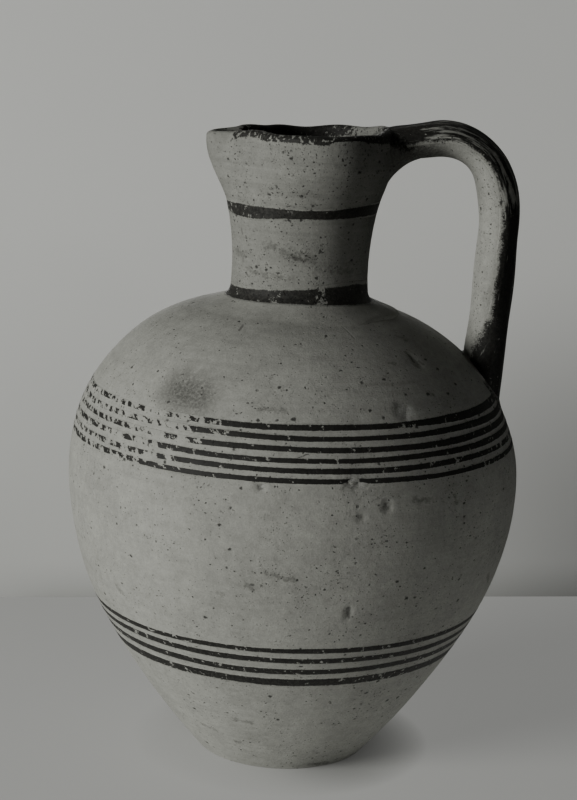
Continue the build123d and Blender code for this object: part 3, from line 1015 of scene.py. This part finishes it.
def shoulderWear(angle, band):
    degrees = np.degrees(angle)
    share = band / (shoulderPaint["count"] - 1)
    start = shoulderPaint["wornFirst"] + (shoulderPaint["wornLast"] - shoulderPaint["wornFirst"]) * share
    left = shoulderPaint["leftWear"] * ramp(-degrees, -start - 8, -start + 24) * (1 - ramp(-degrees, 85, 140))
    bald = shoulderPaint["baldWear"] * hump(degrees, -34 - 6 * share, 9) * (1 - 0.5 * share)
    chip = withHumps(0.0, degrees, shoulderPaint["chips"].get(band, ()))
    faint = shoulderPaint["faintWear"] * ramp(degrees, 38, 62) * (1 - ramp(degrees, 95, 130))
    faint = faint * (band >= shoulderPaint["faintBand"])
    patchy = shoulderPaint["patchyWear"] * np.sin(9 * angle + band) ** 2
    return shoulderPaint["allWear"] + left + bald + chip + faint + patchy


for band in range(shoulderPaint["count"]):
    level = shoulderPaint["top"] - band * shoulderPaint["pitch"]
    middle = level + sway(columnAngles, 1.7 * band, shoulderPaint["sway"])
    width = shoulderPaint["width"] + broader(columnAngles, band)
    width = width + sway(columnAngles, 3.1 * band + 1, shoulderPaint["uneven"])
    wear = shoulderWear(columnAngles, band)
    wallBand(f"shoulderBand{band + 1}", f"shoulder_band_{band + 1}", shoulderSlip, middle, width, wear)

for band, width in enumerate(bellyPaint["widths"]):
    level = bellyPaint["top"] - band * (bellyPaint["pitch"] + band * bellyPaint["growth"])
    middle = level + sway(columnAngles, 2.3 * band + 0.5, bellyPaint["sway"])
    width = width + sway(columnAngles, 1.9 * band, bellyPaint["uneven"])
    wear = bellyPaint["allWear"] + bellyPaint["patchyWear"] * np.sin(3 * columnAngles + band) ** 2
    wallBand(f"bellyBand{band + 1}", f"belly_band_{band + 1}", bellySlip, middle, width, wear)
print("wall bands painted")

# Neck bands and the coat over the lip
neckPaint = {
    "upper": 255.7, "upperWidth": 4.0, "upperLift": 1.5, "upperWear": 0.12,
    "lowerTop": 220.0, "lowerSway": 0.12, "lowerSpill": 0.2, "lowerWear": 0.10,
    "lowerRows": 31, "lowerStops": 60, "heapStops": 40,
    "rimOutside": 4.0, "outsideSpare": 4.2, "rimInside": 7.0, "insideSpare": 2.0,
    "rimRise": 0.06, "rimRows": 13, "rimWear": 0.20, "nearWear": 0.26, "spoutWear": 1.3, "handleWear": 0.9,
    # rises and dips round the neck: size, angle, spread
    "upperDips": ((-0.8, -48, 26),), "upperFuller": ((1.6, -48, 24), (0.9, 60, 30), (-0.3, 5, 20)),
    "upperWorn": ((0.20, -50, 20), (0.30, -82, 14)), "lowerRises": ((3.6, 48, 62), (-0.7, -90, 40)),
    "lowerWorn": ((0.46, 17, 8), (0.42, -20, 4), (0.16, -58, 20)),
    "rimDeeper": ((0.75, 76, 15), (-0.58, 21, 14)),
}
neckSlip = slipMaterial("neckSlip", "neck", 0.13, 0.4, plain, 0.8, 2.7)
rimSlip = slipMaterial("rimSlip", "neck", 0.24, 0.55, plain, 0.55, 2.7)


def upperBandRings():
    angle = ring(neckShape["columns"])[None, :]
    across, out = coatSection()
    degrees = np.degrees(angle)
    lift = neckPaint["upperLift"] * ramp(degrees, 5, 60) * (1 - ramp(degrees, 100, 160))
    middle = withHumps(neckPaint["upper"] + lift, degrees, neckPaint["upperDips"])
    width = withHumps(neckPaint["upperWidth"], degrees, neckPaint["upperFuller"])
    height = middle + across * coat["margin"] * width / 2
    wear = withHumps(neckPaint["upperWear"], degrees, neckPaint["upperWorn"])
    return neckPoint(angle + 0 * height, height, out + 0 * height), across, wear


layCoat("upperNeckBand", "neck_band_upper", neckSlip, *upperBandRings())


# The lower band runs down the neck and the cove as far as the heap
def lowerBandRings():
    angle = ring(neckShape["columns"])
    across, out = coatSection(neckPaint["lowerRows"])
    rise = out[:, 0]
    degrees = np.degrees(angle)
    upperEdge = withHumps(neckPaint["lowerTop"], degrees, neckPaint["lowerRises"])
    upperEdge = upperEdge + sway(angle, 2.0, neckPaint["lowerSway"])
    toe, stops = lutingShape["toe"], neckPaint["lowerStops"]
    columns = []
    for spot, top in zip(angle, upperEdge):
        wall = np.linspace(top + 4, coveTop(spot), stops, endpoint=False)
        first = coveStart(spot)
        cove = first + (toe - first) * np.linspace(0, 1, stops) ** lutingShape["coveEase"]
        heap = np.linspace(toe, toe + 5, neckPaint["heapStops"])[1:]
        flat = np.concatenate((cove, heap))
        radius = np.concatenate((mouthRadius(np.full_like(wall, spot), wall), flat))
        height = np.concatenate((wall, collarHeight(flat, np.full_like(flat, spot))))
        run = np.concatenate(([0.0], np.cumsum(np.hypot(np.diff(radius), np.diff(height)))))
        upper = np.interp(-top, -wall, run[:stops])
        lower = run[2 * stops - 1] + neckPaint["lowerSpill"]
        along = (upper + lower) / 2 - across[:, 0] * coat["margin"] * (lower - upper) / 2
        tilt = np.arctan2(np.gradient(height, run), np.gradient(radius, run))
        lean = np.interp(along, run, tilt)
        place = np.interp(along, run, radius) - rise * np.sin(lean)
        level = np.interp(along, run, height) + rise * np.cos(lean)
        columns.append(aroundAxis(place, np.full_like(place, spot), level))
    wear = withHumps(neckPaint["lowerWear"], degrees, neckPaint["lowerWorn"])
    return settle(np.stack(columns, axis=1)), across, wear


layCoat("lowerNeckBand", "neck_band_lower", neckSlip, *lowerBandRings())


# The lip coat runs up the outside, over the lip and down the inside
def rimRings():
    angle = ring(neckShape["columns"])[None, :]
    half, lipRound = neckShape["wall"] / 2, neckShape["lipRound"]
    lipFoot = rimHeight - lipRound
    outside = np.linspace(neckPaint["rimOutside"] + neckPaint["outsideSpare"], lipRound, neckPaint["rimRows"])
    inside = np.linspace(lipRound, neckPaint["rimInside"] + neckPaint["insideSpare"], neckPaint["rimRows"])
    bow = np.linspace(0, math.pi, neckShape["lipRows"])[1:-1]
    outsideFade = ramp(outside[0] - outside, 0, 4)
    insideFade = ramp(inside[-1] - inside, 0, 3)

    def lipRows(edge, grow):
        outsideGrow = edge + (grow - edge) * outsideFade
        insideGrow = edge + (grow - edge) * insideFade
        overHeights = lipFoot + (lipRound + grow) * np.sin(bow)
        overGrow = half * (np.cos(bow) - 1) + grow * np.cos(bow)
        heights = np.concatenate((rimHeight - outside, overHeights, rimHeight - inside))
        outs = np.concatenate((outsideGrow, overGrow, -neckShape["wall"] - insideGrow))
        return heights, outs

    def thereAndBack(over, beneath):
        return np.concatenate((over, beneath[::-1]))[:, None]

    heights, outs = lipRows(coat["edge"], neckPaint["rimRise"])
    backHeights, backOuts = lipRows(coat["under"], coat["under"])
    down = np.concatenate((outside / neckPaint["rimOutside"], 0 * bow, inside / neckPaint["rimInside"]))
    side = np.concatenate((0 * outside + 1, np.cos(bow), 0 * inside - 1))
    heights, outs = thereAndBack(heights, backHeights), thereAndBack(outs, backOuts)
    down, side = thereAndBack(down, down), thereAndBack(side, side)
    degrees = np.degrees(angle)
    spoutBare = ramp(hump(degrees, -92, 27), 0.08, 0.85) * ramp(side, -1.5, -0.2)
    handleBare = hump(degrees, 128, 22) * ramp(-side, -0.9, 0.2)
    near = neckPaint["nearWear"] * hump(degrees, -25, 60) * ramp(side, -0.6, 0.3)
    wear = neckPaint["rimWear"] + near + neckPaint["spoutWear"] * spoutBare
    wear = wear + neckPaint["handleWear"] * handleBare
    deeper = 0.9 + 0.14 * np.sin(4 * angle + 0.6) + 0.10 * np.sin(9 * angle)
    deeper = withHumps(deeper, degrees, neckPaint["rimDeeper"])
    reach = down * 0.74 / deeper
    return neckPoint(angle + 0 * heights, heights + 0 * angle, outs + 0 * angle), reach, wear


layCoat("lipCoat", "rim_paint", rimSlip, *rimRings())
print("neck painted")

# Paint on the back of the handle: streaks along the strap, rubbed off the ridges of the crown
handlePaint = {
    "columns": 44, "first": -1.0, "reach": 100.0, "rootReach": 62.0, "rootWidens": (0.45, 0.99), "rise": 0.10,
    "rootShare": 0.2, "inset": 0.80, "thinness": 0.6, "relief": 0.9,
    "streakLength": 0.035, "streakCount": 4.0,
    "crownWear": 0.50, "legWear": 0.18, "crownFrom": (8, 26), "crownTo": (62, 88),
}


def handleCoatRings():
    count = handlePaint["columns"]
    over = np.linspace(-1, 1, count)
    across = np.concatenate((over, over[::-1][1:-1]))[None, :]
    out = coat["edge"] + handlePaint["rise"] * (1 - over**4)
    out = np.concatenate((out, np.full(count - 2, coat["under"])))[None, :]
    upper = np.linspace(handlePaint["first"], upperLength, handleShape["upperRows"], endpoint=False)[:, None]
    leg = np.linspace(0, 1, handleShape["legRows"])[:, None]
    down = np.concatenate((0 * upper, leg))
    reach = handlePaint["reach"] + handlePaint["rootReach"] * ramp(down, *handlePaint["rootWidens"])
    bow = math.pi / 2 - across * np.radians(reach)
    legEnd = legLength(bow, 0.0, -lutingShape["rootHeight"] * handlePaint["rootShare"])
    distance = np.concatenate((upper, 0 * leg + upperLength)) + (legEnd - upperLength) * down
    points = settle(handlePoint(distance, bow, out + 0 * distance))
    crown = ramp(distance, *handlePaint["crownFrom"]) * (1 - ramp(distance, *handlePaint["crownTo"]))
    wear = handlePaint["legWear"] + (handlePaint["crownWear"] - handlePaint["legWear"]) * crown
    return points, {"across": across, "wear": wear, "along": distance}


def handleSlipMaterial():
    material, tree, shader = newMaterial("handleSlip")
    clay = useGroup(tree, clayGrain, tone=clayTone["pale"], pitting=0.8, wheel=0.2)
    marks = readMarks(tree, "across", "wear", "along")
    across = sums(tree, "MULTIPLY", marks["across"], handlePaint["inset"])
    slip = useGroup(tree, slipStroke, across=across, wear=0.12, edge=0.12, flake=0.5)
    lanes = tree.nodes.new("ShaderNodeCombineXYZ")
    put(tree, lanes.inputs[0], sums(tree, "MULTIPLY", marks["along"], handlePaint["streakLength"]))
    put(tree, lanes.inputs[1], sums(tree, "MULTIPLY", marks["across"], handlePaint["streakCount"]))
    streak = cloud(tree, lanes.outputs[0], 2.0, 4.0, 0.65)
    kept = stepAt(tree, streak, sums(tree, "MULTIPLY_ADD", marks["wear"], 0.50, 0.22), 0.06)
    layPaint(tree, shader, clay, slip, sums(tree, "MULTIPLY", slip["mask"], kept), handlePaint["thinness"])
    height = sums(tree, "MULTIPLY_ADD", streak, handlePaint["relief"], clay["height"])
    bumped(tree, shader, height, surfaceLooks["handleBump"])
    return material


coatPoints, coatMarks = handleCoatRings()
handleCoat = skin("handleCoat", coatPoints, marks=coatMarks)
finishPiece(handleCoat, "handle_paint", handleSlipMaterial())
print("handle painted")

# Plain pale floor and wall, soft light from the left front
studio = {
    "wallStart": (-8.0, -0.911), "wallEnd": (8.0, 1.339), "wallTop": 6.0, "floorReach": 8.0,
    "floorTone": (0.30, 0.3035, 0.290), "floorGlow": 0.207, "floorLowGlow": 1.0,
    "wallTone": (0.36, 0.365, 0.35), "wallGlow": 0.225, "wallLowGlow": 0.56, "wallFade": 260.0,
    "sheetLight": (1.0, 1.005, 0.97), "paperRough": 0.95, "paperCloud": 0.10,
    # light thrown up on the pot: strength, mm from it where the light fades, mm over which the wall ends it
    "bounce": 1.5, "glowReach": 150.0, "glowFade": 290.0, "wallGap": 15.0,
    # painted shadow round the foot: reach in m, power, strength on the lit and the shaded side, turn over
    # which it grows
    "nookReach": 0.024, "nookPower": 1.5, "nookLit": 0.25, "nookShade": 0.84, "nookTurns": (-42.0, 12.0),
    "lampTone": (1.0, 1.0, 0.97), "aim": (0, 0, 0.15),
    "keyAngle": -55.0, "keyRise": 11.0, "keyDistance": 1.7, "keySize": 0.7, "keyPower": 28.0,
    "cardPlace": (0.80, -0.62, 0.04), "cardAim": (0.03, -0.02, 0.112), "cardSize": 0.25, "cardPower": 0.0095,
    "cardSpread": 17.0, "backPlace": (-0.15, 2.0, 0.20), "backSize": 0.9, "backPower": 22.0,
    "worldTone": (0.75, 0.78, 0.74, 1), "worldStrength": 0.012, "skyStrength": 0.40,
}
wallStart, wallEnd, wallTop = studio["wallStart"], studio["wallEnd"], studio["wallTop"]
wallTurn = math.atan2(wallEnd[1] - wallStart[1], wallEnd[0] - wallStart[0])
wallNormal = (-math.sin(wallTurn), math.cos(wallTurn), 0.0)
wallLine = 1000 * (wallStart[0] * wallNormal[0] + wallStart[1] * wallNormal[1])
keyTurn, keyRise = math.radians(studio["keyAngle"]), math.radians(studio["keyRise"])
awayFromKey = (-math.sin(keyTurn), math.cos(keyTurn), 0.0)


# The sheets look evenly lit, but only the part near the pot throws light up on it
def stageSheet(name, corners, tone, glow, lowGlow, oneSided=False):
    mesh = bpy.data.meshes.new(name)
    mesh.from_pydata(corners, [], [(0, 1, 2, 3)])
    sheet = bpy.data.objects.new(name, mesh)
    bpy.context.scene.collection.objects.link(sheet)
    material, tree, shader = newMaterial(name + "Paper")
    place = potPlace(tree)
    fibre = offMiddle(tree, cloud(tree, place, 0.01, 3.0))
    light = sums(tree, "MULTIPLY_ADD", fibre, studio["paperCloud"], 1.0)
    tree.links.new(vectors(tree, "SCALE", tone, scale=light), shader.inputs["Base Color"])

    near = slope(tree, vectors(tree, "LENGTH", place), studio["glowReach"], studio["glowFade"], 1.0, 0.0)
    towardWall = vectors(tree, "DOT_PRODUCT", place, wallNormal)
    front = slope(tree, towardWall, wallLine - studio["wallGap"], wallLine, 1.0, 0.0)
    seen = tree.nodes.new("ShaderNodeLightPath").outputs["Is Camera Ray"]
    bounced = sums(tree, "MULTIPLY", sums(tree, "MULTIPLY", near, front), studio["bounce"])
    shine = sums(tree, "ADD", seen, sums(tree, "MULTIPLY", bounced, oneMinus(tree, seen)))
    axes = tree.nodes.new("ShaderNodeSeparateXYZ")
    tree.links.new(place, axes.inputs[0])
    # Painted shade: the sheet glows less toward its foot, by lowGlow at the floor
    low = slope(tree, axes.outputs[2], 0.0, studio["wallFade"], lowGlow, 1.0)

    # Painted shadow where the pot stands, laid in the sheet's glow, most of all on the side away from the
    # light
    nook = tree.nodes.new("ShaderNodeAmbientOcclusion")
    nook.samples = 8
    nook.inputs["Distance"].default_value = studio["nookReach"]
    away = vectors(tree, "DOT_PRODUCT", place, awayFromKey)
    share = slope(tree, away, *studio["nookTurns"], studio["nookLit"], studio["nookShade"])
    closed = oneMinus(tree, sums(tree, "POWER", nook.outputs["AO"], studio["nookPower"]))
    clear = oneMinus(tree, sums(tree, "MULTIPLY", closed, share))
    shine = sums(tree, "MULTIPLY", sums(tree, "MULTIPLY", shine, low), clear)
    tree.links.new(vectors(tree, "SCALE", studio["sheetLight"], scale=shine), shader.inputs["Emission Color"])
    shader.inputs["Emission Strength"].default_value = glow
    shader.inputs["Roughness"].default_value = studio["paperRough"]
    if oneSided:
        facing = tree.nodes.new("ShaderNodeNewGeometry")
        tree.links.new(oneMinus(tree, facing.outputs["Backfacing"]), shader.inputs["Alpha"])
    sheet.data.materials.append(material)
    return sheet


wide = studio["floorReach"]
floorCorners = [(-wide, -wide, 0), (wide, -wide, 0), (wide, wide, 0), (-wide, wide, 0)]
stageSheet("floorSheet", floorCorners, studio["floorTone"], studio["floorGlow"], studio["floorLowGlow"])
wallCorners = [(*wallStart, 0), (*wallEnd, 0), (*wallEnd, wallTop), (*wallStart, wallTop)]
wallGlow, wallLowGlow = studio["wallGlow"], studio["wallLowGlow"]
wallSheet = stageSheet("wallSheet", wallCorners, studio["wallTone"], wallGlow, wallLowGlow, oneSided=True)
# The wall is only a backdrop: it is clear from behind and throws neither light nor shadow on the pot
wallSheet.visible_diffuse = False
wallSheet.visible_shadow = False


def softLight(name, place, target, size, power, spread=180.0):
    lamp = bpy.data.lights.new(name, "AREA")
    lamp.shape = "DISK"
    lamp.size = size
    lamp.energy = power
    lamp.spread = math.radians(spread)
    lamp.color = studio["lampTone"]
    holder = bpy.data.objects.new(name, lamp)
    holder.location = place
    holder.rotation_euler = (Vector(target) - Vector(place)).to_track_quat("-Z", "Y").to_euler()
    bpy.context.scene.collection.objects.link(holder)
    return holder


aim, reach = studio["aim"], studio["keyDistance"]
keyPlace = (
    reach * math.cos(keyRise) * math.sin(keyTurn),
    -reach * math.cos(keyRise) * math.cos(keyTurn),
    aim[2] + reach * math.sin(keyRise),
)
softLight("windowLight", keyPlace, aim, studio["keySize"], studio["keyPower"])
cardPlace, cardAim = studio["cardPlace"], studio["cardAim"]
softLight("paleCard", cardPlace, cardAim, studio["cardSize"], studio["cardPower"], studio["cardSpread"])
# A light for the side that the photograph doesn't show. It falls on the pot alone
backLight = softLight("backLight", studio["backPlace"], aim, studio["backSize"], studio["backPower"])
potPieces = bpy.data.collections.new("potPieces")
for piece in bpy.context.scene.objects:
    if piece.type == "MESH" and piece.name not in ("floorSheet", "wallSheet"):
        potPieces.objects.link(piece)
backLight.light_linking.receiver_collection = potPieces
world = bpy.data.worlds.new("studioAir")
world.use_nodes = True
airTree = world.node_tree
air = airTree.nodes["Background"]
air.inputs["Color"].default_value = studio["worldTone"]
seen = airTree.nodes.new("ShaderNodeLightPath").outputs["Is Camera Ray"]
skyStep = studio["skyStrength"] - studio["worldStrength"]
put(airTree, air.inputs["Strength"], sums(airTree, "MULTIPLY_ADD", seen, skyStep, studio["worldStrength"]))
bpy.context.scene.world = world

# Camera where the photograph was taken from
view = {"place": (-0.00281, -0.850, 0.3485), "pitch": 12.14, "roll": -2.44, "lens": 84.33, "sensor": 36.0}
pitch, roll = math.radians(view["pitch"]), math.radians(view["roll"])
levelRight = Vector((1, 0, 0))
levelUp = Vector((0, math.sin(pitch), math.cos(pitch)))
ahead = Vector((0, math.cos(pitch), -math.sin(pitch)))
right = math.cos(roll) * levelRight - math.sin(roll) * levelUp
up = math.sin(roll) * levelRight + math.cos(roll) * levelUp
lens = bpy.data.cameras.new("camera")
lens.sensor_fit = "VERTICAL"
lens.sensor_height = view["sensor"]
lens.lens = view["lens"]
camera = bpy.data.objects.new("camera", lens)
pose = Matrix((right, up, -ahead)).transposed().to_4x4()
pose.translation = Vector(view["place"])
camera.matrix_world = pose
bpy.context.scene.collection.objects.link(camera)
bpy.context.scene.camera = camera
print("studio and camera set")
